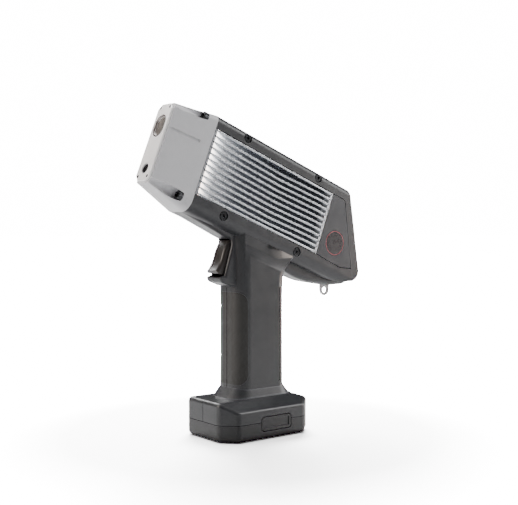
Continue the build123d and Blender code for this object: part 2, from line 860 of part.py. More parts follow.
def side_screws():
    """Side screws with wide low heads, left side; they clamp shell and heat sink."""
    screws = []
    seat = head_half_width - counterbore_depth
    for s, t in side_screw_places():
        head = rod(side_screw_head_radius, (seat, s, t), (seat + side_screw_head_height, s, t))
        head = chamfer(head.edges().sort_by(Axis.X)[-1], 0.3)
        shank = rod(side_screw_radius, (seat - side_screw_length, s, t), (seat, s, t))
        hexagon = across(Pos(s, t) * RegularPolygon(side_screw_hex_radius, 6), seat + 0.5, seat + 5)
        screws.append(head + shank - hexagon)
    return screws


# ---------------------------------------------------------------- rear bezel and display
def rear_frame():
    """Frame of the sloping rear face: local Z out of the face, local Y up it, origin at its top edge."""
    lean = math.radians(rear_lean)
    up = (0, -math.sin(lean), math.cos(lean))
    out = (0, math.cos(lean), math.sin(lean))
    return Plane(origin=(0, rear_top_s, head_top), x_dir=Vector(*up).cross(Vector(*out)), z_dir=out)


def rear_bezel():
    """One-piece rear frame around the display, with the power button's bore."""
    body = head_form() & across(bezel_region(), -60, 60)
    rear = rear_frame()
    face_edges = [e for e in body.edges() if rear.to_local_coords(e.center()).Z > -0.05]
    body = fillet(face_edges, rear_edge_radius)
    body -= head_form(shell_wall) & across(bezel_region(), -60, 60) & behind_rear_face(-bezel_thickness)
    recess = rear * Pos(0, -display_centre) * rounded_rectangle(display_half_width * 2 + 2 * seat_gap,
                                                               display_height + 2 * seat_gap, 3)
    body -= extrude(recess, amount=-glass_thickness - 0.1)
    well = rear * Pos(0, -display_centre) * rounded_rectangle(display_half_width * 2 - 3, display_height - 3, 2)
    body -= extrude(well, amount=-bezel_thickness - 5)
    bore = rear * Pos(0, -power_from_top) * Circle(power_radius + button_gap)
    body -= extrude(bore, amount=-20)
    collar_room = rear.offset(-bezel_thickness) * Pos(0, -power_from_top) * Circle(power_radius + 1.4)
    return body - extrude(collar_room, amount=-20)


def behind_rear_face(offset):
    """Half-space in front of the rear face, moved in by -offset."""
    rear = rear_frame()
    return extrude(rear.offset(offset) * Rectangle(200, 400), amount=-300)


def rounded_rectangle(width, height, radius):
    return RectangleRounded(width, height, radius)


def display_glass():
    rear = rear_frame()
    face = rear * Pos(0, -display_centre) * rounded_rectangle(2 * display_half_width, display_height, 2.8)
    return extrude(face, amount=-glass_thickness)


def display_module():
    """The panel behind the glass, held in the bezel's well."""
    rear = rear_frame().offset(-glass_thickness)
    face = rear * Pos(0, -display_centre) * rounded_rectangle(
        2 * display_half_width - 3 - 2 * seat_gap, display_height - 3 - 2 * seat_gap, 1.8)
    return extrude(face, amount=-module_thickness)


def power_button():
    """Round key under the display, with a collar behind the bezel."""
    rear = rear_frame()
    centre = rear * Pos(0, -power_from_top)
    key = extrude(centre * Circle(power_radius), amount=-bezel_thickness - fit_gap)
    rims = key.edges().filter_by(GeomType.CIRCLE)
    key = fillet(rims.sort_by(lambda rim: rear.to_local_coords(rim.arc_center).Z)[-1], 0.5)
    collar = extrude(rear.offset(-bezel_thickness - fit_gap) * Pos(0, -power_from_top) * Circle(power_radius + 1),
                     amount=-1)
    return key + collar


def key_board():
    """Board across the bezel with the switch under the power button."""
    rear = rear_frame()
    depth = bezel_thickness + fit_gap + 1 + power_travel + 0.05
    centre = Pos(0, -power_from_top)
    switch = extrude(rear.offset(-depth) * centre * Rectangle(6, 6), amount=-2.5)
    plate = rear.offset(-depth - 2.5) * centre * Rectangle(
        2 * (head_half_width - shell_wall), key_board_height)
    return switch + extrude(plate, amount=-board_thickness)


def data_socket():
    """Socket on the head's floor, over the covered port."""
    low = head_bottom + shell_wall
    body = block((-5.5, port_cover_s - 7, low), (5.5, port_cover_s + 1, low + 4))
    return body - block((-4, port_cover_s - 6, low - 1), (4, port_cover_s, low + 2.5))


# ---------------------------------------------------------------- trigger
def trigger():
    """Curved blade on its pin; its face swells a little at the top and runs forward to the tip."""
    half = trigger_half_width
    crown, tip = (trigger_top_y, trigger_top_z), (trigger_tip_y, trigger_tip_z)
    middle, lean = (trigger_mid_y, trigger_mid_z), math.radians(trigger_mid_lean)
    brow = TangentArc(middle, crown, tangent=(math.sin(lean), math.cos(lean)))
    hook = TangentArc(middle, tip, tangent=(-math.sin(lean), -math.cos(lean)))
    chin = (trigger_tip_y + 1.6, trigger_low_z + 0.8)
    rest = Polyline(tip, chin, (trigger_tip_y + 6, trigger_low_z), (trigger_back_y - 6, trigger_low_z),
                    (trigger_back_y, trigger_pin_z - 8), (trigger_back_y, trigger_top_z), crown)
    blade = across(make_face(brow + hook + rest), -half, half)
    face_edges = [e for e in blade.edges().filter_by(GeomType.CIRCLE)]
    blade = fillet(face_edges, trigger_edge_radius)
    return blade - rod(trigger_pin_radius + pin_clearance, (-50, trigger_pin_y, trigger_pin_z),
                       (50, trigger_pin_y, trigger_pin_z))


def trigger_pin():
    half = housing_half_width - 1.2
    return rod(trigger_pin_radius, (-half, trigger_pin_y, trigger_pin_z), (half, trigger_pin_y, trigger_pin_z))


def trigger_bracket():
    """Cross plate behind the trigger, held between the two halves; it seats the spring and switch."""
    back = bracket_front_y + bracket_thickness
    feet_half = handle_half_width - shell_wall - grip_thickness
    return block((-8.5, bracket_front_y, 130), (8.5, back, 156)) + block(
        (-feet_half, bracket_front_y, 126), (feet_half, back, 131))


def trigger_switch():
    """Switch on the bracket, with its plunger just behind the trigger."""
    body = block((-3.2, bracket_front_y - 4.5, switch_z - 3.5), (3.2, bracket_front_y, switch_z + 3.5))
    return body + rod(1.1, (0, plunger_tip_y, switch_z), (0, bracket_front_y - 4.5, switch_z))


def leaf_outline(reach, span):
    """An arched leaf spring seen edge on: feet on the Y axis, crown at x = reach."""
    half = span / 2
    outer = ThreePointArc((0, -half), (reach, 0), (0, half))
    inner = ThreePointArc((0, half - spring_leaf), (reach - spring_leaf, 0), (0, spring_leaf - half))
    return make_face(outer + Line((0, half), (0, half - spring_leaf)) + inner
                     + Line((0, spring_leaf - half), (0, -half)))


def trigger_spring():
    """Arched leaf between the bracket and the back of the trigger."""
    leaf = extrude(leaf_outline(bracket_front_y - trigger_back_y, trigger_spring_span),
                   amount=trigger_spring_width)
    turned = Plane(origin=(trigger_spring_width / 2, bracket_front_y, trigger_spring_z),
                   x_dir=(0, -1, 0), z_dir=(-1, 0, 0))
    return turned * leaf


# ---------------------------------------------------------------- battery pack
def deck_plan(inset=0):
    """Plan of the pack's raised deck, its corners following the base's."""
    return Rectangle(2 * (deck_half_width - inset), 2 * (deck_half_length - inset)) & base_plan(
        base_wall + 0.6 + inset)


def battery_case():
    """Foot and raised deck of the pack as one hollow moulding, open at the deck's top for its lid."""
    top = seam_z - seam_height
    foot = extrude(base_plan(), amount=top)
    foot = fillet(foot.faces().sort_by(Axis.Z)[0].outer_wire().edges(), foot_edge_radius)
    deck_top = seam_z + deck_height - lid_thickness
    deck = Pos(0, 0, top - 1) * extrude(deck_plan(), amount=deck_top - top + 1)
    room = Pos(0, 0, case_wall) * extrude(base_plan(case_wall), amount=top - 2 * case_wall)
    case = foot + deck - room - Pos(0, 0, case_wall) * extrude(deck_plan(deck_wall), amount=deck_top)
    room = button_room()
    rib = block((spring_seat_x - 1.4, button_y - 10, case_wall - 0.5),
                (spring_seat_x, button_y + 10, top - case_wall - 0.5))
    for side in (-1, 1):
        case += rib if side > 0 else mirrored(rib)
        case -= room if side > 0 else mirrored(room)
    return case


def button_room():
    """Room in the pack for the left release button: its notch, and its flange behind the wall."""
    flange_low = button_inner_x - button_flange_thickness - button_travel - fit_gap
    reach = button_half_length + button_gap + 1.2
    return button_notch() + block((flange_low, button_y - reach, case_wall + 2),
                                  (base_half_width - case_wall, button_y + reach,
                                   seam_z - seam_height - case_wall))


def battery_lid():
    top = seam_z + deck_height
    lid = Pos(0, 0, top - lid_thickness) * extrude(deck_plan(), amount=lid_thickness)
    return chamfer(lid.edges().group_by(Axis.Z)[-1], 0.8)


def battery_cells():
    places = (-cell_radius - 0.2, cell_radius + 0.2)
    z = case_wall + cell_radius
    return [rod(cell_radius, (x, -cell_length / 2, z), (x, cell_length / 2, z)) for x in places]


def terminal_places():
    return [(x, -deck_half_length + 8) for x in (-9, -3, 3, 9)]


def battery_terminals():
    top = seam_z + deck_height
    return [block((x - 1.5, y - 3, top), (x + 1.5, y + 3, top + 0.4)) for x, y in terminal_places()]


def contact_block():
    """Sprung contacts over the pack's terminals, on the roof of the base."""
    roof = base_top_z - base_wall
    low = seam_z + deck_height + 0.4 + fit_gap
    return block((-13, -deck_half_length + 3, low), (13, -deck_half_length + 13, roof))


def latch_button():
    """Left release button: dished face, and a flange behind the case wall."""
    pad = across(button_outline(), button_inner_x, base_half_width)
    pad -= across(button_outline(-button_rim), base_half_width - button_dish, base_half_width + 1)
    reach = button_half_length + 1
    flange = block((button_inner_x - button_flange_thickness, button_y - reach, case_wall + 3),
                   (base_half_width - case_wall - fit_gap, button_y + reach,
                    seam_z - seam_height - case_wall - fit_gap))
    return pad + flange


def latch_spring():
    """Arched leaf that pushes the left release button outward from its rib."""
    reach = button_inner_x - button_flange_thickness - spring_seat_x
    leaf = Pos(0, 0, -latch_spring_width / 2) * extrude(leaf_outline(reach, latch_spring_span),
                                                       amount=latch_spring_width)
    return Pos(spring_seat_x, button_y, case_wall + 5.8) * leaf


# ---------------------------------------------------------------- write the parts
def write(shape, name, frame=None):
    placed = shape if frame is None else frame * shape
    save(placed, name)


def write_group(solids, name, frame=None):
    placed = [solid if frame is None else frame * solid for solid in solids]
    save(Compound(children=placed), name)


write(nose_block(), "nose_block", HEAD)
write(nose_plate(), "nose_plate", HEAD)
write(window_ring(), "window_ring", HEAD)
write(window_film(), "window_film", HEAD)
write(camera_lens(), "camera_lens", HEAD)
write(plate_screws(), "plate_screws", HEAD)
write(cap_screws(), "cap_screws", HEAD)
write(capsule(tube_t, tube_radius), "xray_tube", HEAD)
write(capsule(detector_t, detector_radius), "detector", HEAD)
write(chassis(), "chassis", HEAD)
write(main_board(), "main_board", HEAD)
write(hv_supply(), "hv_supply", HEAD)
half = shell_half()
write(screw_holes(half, handle_screw_radius), "shell_left")
right_half = screw_holes(half, handle_screw_radius + seat_gap, handle_screw_head_radius + seat_gap)
write(mirrored(right_half), "shell_right")
write_group(handle_screws(), "handle_screws")
write(handle_board(), "handle_board")
for name, shape in (("heat_sink", heat_sink()), ("side_panel", side_panel()), ("badge", badge()),
                    ("badge_ring", badge_ring())):
    write(shape, name + "_left", HEAD)
    write(mirrored(shape), name + "_right", HEAD)
screws = side_screws()
write_group(screws + [mirrored(screw) for screw in screws], "side_screws", HEAD)
for name, shape in (("front_grip", front_grip()), ("rear_strip", rear_strip())):
    write(shape, name + "_left")
    write(mirrored(shape), name + "_right")
write(rear_bezel(), "rear_bezel", HEAD)
write(display_glass(), "display_glass", HEAD)
write(display_module(), "display_module", HEAD)
write(power_button(), "power_button", HEAD)
write(key_board(), "key_board", HEAD)
write(data_socket(), "data_socket", HEAD)
write(trigger(), "trigger")
write(trigger_pin(), "trigger_pin")
write(trigger_bracket(), "trigger_bracket")
write(trigger_switch(), "trigger_switch")
write(trigger_spring(), "trigger_spring")
write(lanyard_tab(), "lanyard_tab")
write(port_cover(), "port_cover", HEAD)
write(battery_case(), "battery_case")
write(battery_lid(), "battery_lid")
write_group(battery_cells(), "battery_cells")
write_group(battery_terminals(), "battery_terminals")
write(contact_block(), "contact_block")
for name, shape in (("latch_button", latch_button()), ("latch_spring", latch_spring())):
    write(shape, name + "_left")
    write(mirrored(shape), name + "_right")
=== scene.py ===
import bmesh
import bpy
import math
from mathutils import Matrix, Vector


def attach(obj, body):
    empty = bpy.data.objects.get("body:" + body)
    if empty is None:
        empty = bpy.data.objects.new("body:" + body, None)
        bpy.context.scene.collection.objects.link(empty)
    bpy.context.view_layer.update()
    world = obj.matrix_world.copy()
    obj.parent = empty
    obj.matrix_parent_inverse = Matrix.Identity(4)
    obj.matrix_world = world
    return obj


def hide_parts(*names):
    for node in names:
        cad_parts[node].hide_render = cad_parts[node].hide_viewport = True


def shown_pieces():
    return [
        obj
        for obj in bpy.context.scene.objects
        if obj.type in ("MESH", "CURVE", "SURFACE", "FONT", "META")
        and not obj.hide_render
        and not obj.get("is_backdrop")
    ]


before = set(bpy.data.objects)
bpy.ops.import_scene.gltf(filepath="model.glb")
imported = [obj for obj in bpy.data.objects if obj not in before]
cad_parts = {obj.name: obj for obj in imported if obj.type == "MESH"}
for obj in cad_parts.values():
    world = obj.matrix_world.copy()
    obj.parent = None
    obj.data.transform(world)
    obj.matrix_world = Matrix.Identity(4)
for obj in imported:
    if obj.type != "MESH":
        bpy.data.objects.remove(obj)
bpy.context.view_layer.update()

# ---------------------------------------------------------------- moulded shell
# Two halves of glass-filled nylon, injection moulded in a spark-eroded tool and drawn together by
# screws. The tool leaves a fine even grain; hands leave it a little glossier in patches and rub the
# edges paler.
MM = 0.001
SHELL_COLOUR, SHELL_WORN = "#242528", "#45474b"
SHELL_ROUGHNESS = 0.37
EDGE_BREAK_MM = 0.3


def linear(code):
    """A #rrggbb colour as linear light, with full alpha."""
    parts = [int(code[i:i + 2], 16) / 255 for i in (1, 3, 5)]
    return [c / 12.92 if c <= 0.04045 else ((c + 0.055) / 1.055) ** 2.4 for c in parts] + [1]


def add(tree, kind, inputs={}, **settings):
    """Add a node to a tree, with its settings, its sockets' values and its links."""
    node = tree.nodes.new("ShaderNode" + kind)
    for name, value in settings.items():
        setattr(node, name, value)
    for socket, value in inputs.items():
        if isinstance(value, bpy.types.NodeSocket):
            tree.links.new(value, node.inputs[socket])
        else:
            node.inputs[socket].default_value = value
    return node


def start_finish(name, colour, roughness, metallic=0.0, **sockets):
    """A new material of one colour, its node tree, its shader and its object coordinates."""
    made = bpy.data.materials.new(name)
    made.use_nodes = True
    shader = made.node_tree.nodes["Principled BSDF"]
    shader.inputs["Base Color"].default_value = linear(colour)
    shader.inputs["Roughness"].default_value = roughness
    shader.inputs["Metallic"].default_value = metallic
    for socket, value in sockets.items():
        shader.inputs[socket.replace("_", " ")].default_value = value
    return made, made.node_tree, shader, add(made.node_tree, "TexCoord").outputs["Object"]


def uneven_gloss(tree, shader, place, roughness, spread, patch_mm):
    """Let the gloss drift a little from patch to patch, as handling leaves it."""
    patches = add(tree, "TexNoise", {"Vector": place, "Scale": 1 / (patch_mm * MM), "Detail": 4.0})
    gloss = add(tree, "MapRange", {"Value": patches.outputs["Fac"], "From Min": 0.3, "From Max": 0.7,
                                   "To Min": roughness - spread, "To Max": roughness + spread})
    tree.links.new(gloss.outputs["Result"], shader.inputs["Roughness"])
    return patches.outputs["Fac"]


def rubbed_edges(tree, shader, patches, colour, worn, reach_mm, amount):
    """Paler colour where an edge is rubbed, broken up by the gloss patches."""
    rounded = add(tree, "Bevel", {"Radius": reach_mm * MM}, samples=4)
    true_face = add(tree, "NewGeometry")
    facing = add(tree, "VectorMath", {0: rounded.outputs["Normal"], 1: true_face.outputs["Normal"]},
                 operation="DOT_PRODUCT")
    edge = add(tree, "MapRange", {"Value": facing.outputs["Value"], "From Min": 0.995, "From Max": 0.86,
                                  "To Min": 0.0, "To Max": amount})
    broken = add(tree, "Math", {0: edge.outputs["Result"], 1: patches}, operation="MULTIPLY")
    tone = add(tree, "Mix", {"Factor": broken.outputs[0], "A": linear(colour), "B": linear(worn)},
               data_type="RGBA")
    tree.links.new(tone.outputs["Result"], shader.inputs["Base Color"])


def fine_grain(tree, shader, place, grain_mm, depth_mm, stretch=(1, 1, 1)):
    """A fine bump of the given size; stretched along an axis it becomes brushing or machining."""
    drawn = add(tree, "Mapping", {"Vector": place, "Scale": stretch})
    grain = add(tree, "TexNoise", {"Vector": drawn.outputs["Vector"], "Scale": 1 / (grain_mm * MM),
                                   "Detail": 3.0})
    bump = add(tree, "Bump", {"Height": grain.outputs["Fac"], "Distance": depth_mm * MM, "Strength": 1.0})
    tree.links.new(bump.outputs["Normal"], shader.inputs["Normal"])


def moulded(name, colour, worn, roughness, grain_mm=0.4, depth_mm=0.012):
    """Spark-eroded moulded plastic."""
    made, tree, shader, place = start_finish(name, colour, roughness, IOR=1.5)
    patches = uneven_gloss(tree, shader, place, roughness, 0.045, 11)
    rubbed_edges(tree, shader, patches, colour, worn, 0.9, 1.5)
    fine_grain(tree, shader, place, grain_mm, depth_mm)
    return made


def dress(names, finish, edge_mm=0.25, crisp=None):
    """Give CAD nodes their finish. Their sharp edges are broken so that they catch the light, or
    every edge over the crisp angle is kept sharp."""
    for name in names:
        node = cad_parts[name]
        for place in node.material_slots:
            place.material = finish
        if edge_mm or crisp:
            node.modifiers.new("weld", "WELD").merge_threshold = 0.002 * MM
        if crisp:
            node.modifiers.new("crisp", "EDGE_SPLIT").split_angle = math.radians(crisp)
        if edge_mm:
            edge = node.modifiers.new("edge", "BEVEL")
            edge.width, edge.segments = edge_mm * MM, 2
            edge.limit_method, edge.angle_limit = "ANGLE", math.radians(35)
            edge.harden_normals = True
            node.modifiers.new("normals", "WEIGHTED_NORMAL").keep_sharp = True


def pair(stem):
    """The names of a piece's left and right nodes."""
    return [stem + "_left", stem + "_right"]


dress(pair("shell"), moulded("glass filled nylon", SHELL_COLOUR, SHELL_WORN, SHELL_ROUGHNESS),
      EDGE_BREAK_MM)

# ---------------------------------------------------------------- nose block
# A cast aluminium nose, blasted with fine beads and powder coated silver grey. The coat evens the
# gloss and leaves a fine orange peel; the four corners and the slot keep slightly brighter edges.
NOSE_COLOUR, NOSE_WORN = "#b9b9bc", "#d9d9da"
nose_coat, nose_tree, nose_shader, nose_place = start_finish("powder coated aluminium", NOSE_COLOUR, 0.42)
nose_patches = uneven_gloss(nose_tree, nose_shader, nose_place, 0.42, 0.05, 14)
rubbed_edges(nose_tree, nose_shader, nose_patches, NOSE_COLOUR, NOSE_WORN, 0.7, 1.2)
fine_grain(nose_tree, nose_shader, nose_place, 0.45, 0.008)
dress(["nose_block"], nose_coat, 0.4)

# ---------------------------------------------------------------- nose face
# A machined aluminium plate, bead blasted and clear anodised, screwed to the front of the nose. The
# finish is bright and satin, with hardly any grain.
PLATE_COLOUR = "#f6f6f6"
plate_coat, plate_tree, plate_shader, plate_place = start_finish(
    "clear anodised aluminium", PLATE_COLOUR, 0.34, 0.35)
uneven_gloss(plate_tree, plate_shader, plate_place, 0.34, 0.05, 9)
fine_grain(plate_tree, plate_shader, plate_place, 0.3, 0.004)
dress(["nose_plate"], plate_coat, 0.15)

# ---------------------------------------------------------------- measuring window
# A stadium-shaped window: a turned metal ring holds a thin plastic film in front of the tube and the
# detector. The film is taut but never quite flat, so its shine wanders.
ring_metal, ring_tree, ring_shader, ring_place = start_finish("turned steel ring", "#c3bdba", 0.24, 1.0)
uneven_gloss(ring_tree, ring_shader, ring_place, 0.24, 0.06, 3)
dress(["window_ring"], ring_metal, 0.12)
film, film_tree, film_shader, film_place = start_finish("window film", "#8b8581", 0.16, 0.55, Coat_Weight=0.7)
film_tone = uneven_gloss(film_tree, film_shader, film_place, 0.18, 0.08, 5)
film_mix = add(film_tree, "Mix", {"Factor": film_tone, "A": linear("#6d6865"), "B": linear("#a8a29d")},
               data_type="RGBA")
film_tree.links.new(film_mix.outputs["Result"], film_shader.inputs["Base Color"])
fine_grain(film_tree, film_shader, film_place, 4.0, 0.12, (1, 1, 0.35))
dress(["window_film"], film, 0)

# ---------------------------------------------------------------- socket screws
# Hardened steel socket screws, black oxide finished: knurled cap screws through the nose flange, low
# heads in the shell's counterbores, small flush ones in the nose face, and three in the handle.
# The head has a frame of its own, tipped down to the rear: x across, s rearward, t up its side.
HEAD_PITCH = math.radians(21.2)
HEAD_JOINT = Vector((0, -55.3, 222.9)) * MM
HEAD = Matrix.Translation(HEAD_JOINT) @ Matrix.Rotation(-HEAD_PITCH, 4, "X")
FORWARD = Matrix.Rotation(math.radians(90), 4, "X")
SCREW_STEPS = 72
SAME_PLACE = 1e-7


def turned(profile_mm, steps=SCREW_STEPS):
    """A bmesh spun about Z from (radius, height) points in millimetres."""
    work = bmesh.new()
    points = [work.verts.new((radius * MM, 0, height * MM)) for radius, height in profile_mm]
    edges = [work.edges.new(ends) for ends in zip(points, points[1:])]
    bmesh.ops.spin(work, geom=points + edges, cent=(0, 0, 0), axis=(0, 0, 1), angle=2 * math.pi,
                   steps=steps, use_merge=True)
    bmesh.ops.remove_doubles(work, verts=work.verts, dist=0.0005 * MM)
    return work


def only(kind, geometry):
    """The vertices or the edges out of what a bmesh operator returns."""
    return [item for item in geometry if isinstance(item, kind)]


def repeat(work, matrices):
    """Copy everything in a bmesh to each matrix."""
    first = list(work.verts) + list(work.edges) + list(work.faces)
    for matrix in matrices[1:]:
        copy = bmesh.ops.duplicate(work, geom=first)["geom"]
        bmesh.ops.transform(work, matrix=matrix, verts=only(bmesh.types.BMVert, copy))
    bmesh.ops.transform(work, matrix=matrices[0], verts=only(bmesh.types.BMVert, first))


def finished(name, work, finish, body="root", replaces=(), smooth_angle=35):
    """Turn a bmesh into a piece that rides on a body, with its faces outward and its edges crisp."""
    bmesh.ops.recalc_face_normals(work, faces=work.faces)
    mesh = bpy.data.meshes.new(name)
    work.to_mesh(mesh)
    work.free()
    mesh.materials.append(finish)
    mesh.shade_smooth()
    mesh.set_sharp_from_angle(angle=math.radians(smooth_angle))
    piece = bpy.data.objects.new(name, mesh)
    bpy.context.collection.objects.link(piece)
    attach(piece, body)
    if replaces:
        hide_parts(*replaces)
    return piece


def socket_screw(head_radius, head_height, break_mm, flats, depth, shank_radius, shank_length, knurl=0.0):
    """A screw along Z with its seat at the origin: turned head and shank, then a hexagon socket."""
    top, corner = head_height, flats / math.sqrt(3)
    work = turned([(0, -shank_length), (shank_radius - 0.3, -shank_length),
                   (shank_radius, -shank_length + 0.3), (shank_radius, 0), (head_radius, 0),
                   (head_radius, top - break_mm), (head_radius - break_mm, top), (corner + 0.05, top)])
    for vert in work.verts:
        radius = vert.co.to_2d().length
        angle = math.atan2(vert.co.y, vert.co.x)
        if abs(vert.co.z - top * MM) < SAME_PLACE and radius < (corner + 0.1) * MM:
            side = (angle + math.pi / 6) % (math.pi / 3) - math.pi / 6
            vert.co.xy = vert.co.xy / radius * (flats / 2 * MM / math.cos(side))
        elif (knurl and abs(radius - head_radius * MM) < SAME_PLACE
              and round(angle / math.tau * SCREW_STEPS) % 2):
            vert.co.xy *= 1 - knurl / head_radius
    rim = [edge for edge in work.edges if edge.is_boundary]
    walls = bmesh.ops.extrude_edge_only(work, edges=rim)["geom"]
    bmesh.ops.translate(work, vec=(0, 0, -depth * MM), verts=only(bmesh.types.BMVert, walls))
    floor_rim = [edge for edge in work.edges if edge.is_boundary]
    bmesh.ops.edgeloop_fill(work, edges=floor_rim)
    return work


black_oxide, oxide_tree, oxide_shader, oxide_place = start_finish("black oxide steel", "#26272a", 0.34, 0.75)
oxide_patches = uneven_gloss(oxide_tree, oxide_shader, oxide_place, 0.34, 0.08, 2)
rubbed_edges(oxide_tree, oxide_shader, oxide_patches, "#26272a", "#7b7c80", 0.25, 1.4)
plain_steel, steel_tree, steel_shader, steel_place = start_finish("stainless steel", "#a3a4a6", 0.28, 1.0)
uneven_gloss(steel_tree, steel_shader, steel_place, 0.28, 0.07, 3)
fine_grain(steel_tree, steel_shader, steel_place, 0.25, 0.002, (1, 1, 6))

CAP_X_MM, CAP_SEAT_S_MM, CAP_T_MM = 12.8, -8.0, 33.6
cap = socket_screw(head_radius=3.5, head_height=4.0, break_mm=0.4, flats=3.1, depth=2.2, shank_radius=2.0,
                   shank_length=12.4, knurl=0.13)
repeat(cap, [HEAD @ Matrix.Translation(Vector((x, CAP_SEAT_S_MM, t)) * MM) @ FORWARD
             for x in (-CAP_X_MM, CAP_X_MM) for t in (-CAP_T_MM, CAP_T_MM)])
finished("nose_cap_screws", cap, black_oxide, replaces=["cap_screws"])

SIDE_SEAT_X_MM, SIDE_S_MM, SIDE_T_MM = 16.1, (32.0, 113.7), 33.9
low_head = socket_screw(head_radius=3.3, head_height=1.5, break_mm=0.35, flats=2.6, depth=1.1,
                        shank_radius=1.5, shank_length=7.0)
repeat(low_head, [HEAD @ Matrix.Translation(Vector((side * SIDE_SEAT_X_MM, s, t)) * MM)
                  @ Matrix.Rotation(side * math.pi / 2, 4, "Y")
                  for side in (-1, 1) for s in SIDE_S_MM for t in (-SIDE_T_MM, SIDE_T_MM)])
finished("shell_side_screws", low_head, black_oxide, replaces=["side_screws"])

FACE_X_MM, FACE_SEAT_S_MM, FACE_T_MM = 6.7, -37.7, 29.0
flush = socket_screw(head_radius=1.22, head_height=0.9, break_mm=0.15, flats=1.1, depth=0.7,
                     shank_radius=0.9, shank_length=4.0)
repeat(flush, [HEAD @ Matrix.Translation(Vector((x, FACE_SEAT_S_MM, t)) * MM) @ FORWARD
               for x in (-FACE_X_MM, FACE_X_MM) for t in (-FACE_T_MM, FACE_T_MM)])
finished("nose_face_screws", flush, black_oxide, replaces=["plate_screws"])

GRIP_SEAT_X_MM, GRIP_PLACES_MM = -15.1, ((3.0, 48.0), (3.0, 100.0), (8.0, 129.0))
grip_screw = socket_screw(head_radius=2.7, head_height=2.0, break_mm=0.3, flats=2.5, depth=1.2,
                          shank_radius=1.5, shank_length=25.0)
repeat(grip_screw, [Matrix.Translation(Vector((GRIP_SEAT_X_MM, y, z)) * MM)
                    @ Matrix.Rotation(-math.pi / 2, 4, "Y") for y, z in GRIP_PLACES_MM])
finished("handle_half_screws", grip_screw, black_oxide, replaces=["handle_screws"])

# ---------------------------------------------------------------- sighting camera
# A small camera looks out of the lower port: a stepped black barrel, anodised and ribbed against
# stray light, with a coated glass element.
PORT = HEAD @ Matrix.Translation(Vector((0, -37.6, -22.5)) * MM) @ FORWARD
barrel_black, barrel_tree, barrel_shader, barrel_place = start_finish(
    "black anodised barrel", "#1b1c1f", 0.42, 0.6)
uneven_gloss(barrel_tree, barrel_shader, barrel_place, 0.42, 0.06, 1.5)
lens_barrel = turned([(0, -12), (4.1, -12), (4.1, -0.2), (3.95, 0), (3.45, 0), (3.25, -0.45), (2.9, -0.5),
                      (2.75, -1.0), (2.4, -1.05), (2.3, -2.0), (0, -2.0)])
repeat(lens_barrel, [PORT])
finished("camera_barrel", lens_barrel, barrel_black, replaces=["camera_lens"])
coated_glass, glass_tree, glass_shader, glass_place = start_finish(
    "coated lens glass", "#15141d", 0.05, Coat_Weight=1.0, Coat_Roughness=0.03)
uneven_gloss(glass_tree, glass_shader, glass_place, 0.07, 0.02, 2)
lens_element = turned([(0, -0.7), (0.8, -0.76), (1.5, -0.95), (2.0, -1.2), (2.28, -1.42), (2.28, -1.8),
                       (0, -1.8)])
repeat(lens_element, [PORT])
finished("camera_glass", lens_element, coated_glass, smooth_angle=50)

# ---------------------------------------------------------------- heat sinks
# Aluminium fins, dished along their length by a fly cutter. The colour is pale at the crests and the rims
# and darkens with depth into the flanks and the deep floors: painted shade in the grooves.
SINK_OUTER_MM = 17.8
CREST_START_MM, DISH_MM, DISH_END_MM, DISH_DEPTH_MM = 2.45, 79.0, 120.0, 4.0
BRIGHT_TO_MM, DARK_FROM_MM = 0.3, 3.6
fins, fins_tree, fins_shader, fins_place = start_finish("fin aluminium with painted groove shade", "#a2a5aa", 0.26, 1.0)
# The painted groove shade needs the depth below the dished crest: first the way along the head, then the dish
# there.
fins_split = add(fins_tree, "SeparateXYZ", {"Vector": fins_place})
across, deep, high = (fins_split.outputs[axis] for axis in "XYZ")
rearward = add(fins_tree, "Math", {0: deep, 1: -HEAD_JOINT.y}, operation="ADD").outputs[0]
sunk = add(fins_tree, "Math", {0: HEAD_JOINT.z, 1: high}, operation="SUBTRACT").outputs[0]
run = add(fins_tree, "Math", {0: rearward, 1: math.cos(HEAD_PITCH)}, operation="MULTIPLY").outputs[0]
along = add(fins_tree, "Math", {0: sunk, 1: math.sin(HEAD_PITCH), 2: run}, operation="MULTIPLY_ADD").outputs[0]
falling = add(fins_tree, "MapRange", {"Value": along, "From Min": CREST_START_MM * MM,
                                      "From Max": DISH_MM * MM, "To Max": DISH_DEPTH_MM * MM})
rising = add(fins_tree, "MapRange", {"Value": along, "From Min": DISH_END_MM * MM, "From Max": DISH_MM * MM,
                                     "To Max": DISH_DEPTH_MM * MM})
dish = add(fins_tree, "Math", {0: falling.outputs["Result"], 1: rising.outputs["Result"]},
           operation="MINIMUM")
outward = add(fins_tree, "Math", {0: across}, operation="ABSOLUTE").outputs[0]
raised = add(fins_tree, "Math", {0: outward, 1: dish.outputs[0]}, operation="ADD").outputs[0]
below_crest = add(fins_tree, "Math", {0: SINK_OUTER_MM * MM, 1: raised}, operation="SUBTRACT").outputs[0]
# Painted shade: the colour darkens from the crest down into the grooves.
groove_shade = add(fins_tree, "MapRange", {"Value": below_crest, "From Min": BRIGHT_TO_MM * MM,
                                   "From Max": DARK_FROM_MM * MM}, interpolation_type="SMOOTHSTEP")
fin_tone_with_groove_shade = add(fins_tree, "Mix", {"Factor": groove_shade.outputs["Result"], "A": linear("#e6e9ee"),
                                  "B": linear("#46494f")}, data_type="RGBA")
fins_tree.links.new(fin_tone_with_groove_shade.outputs["Result"], fins_shader.inputs["Base Color"])
uneven_gloss(fins_tree, fins_shader, fins_place, 0.27, 0.02, 8)

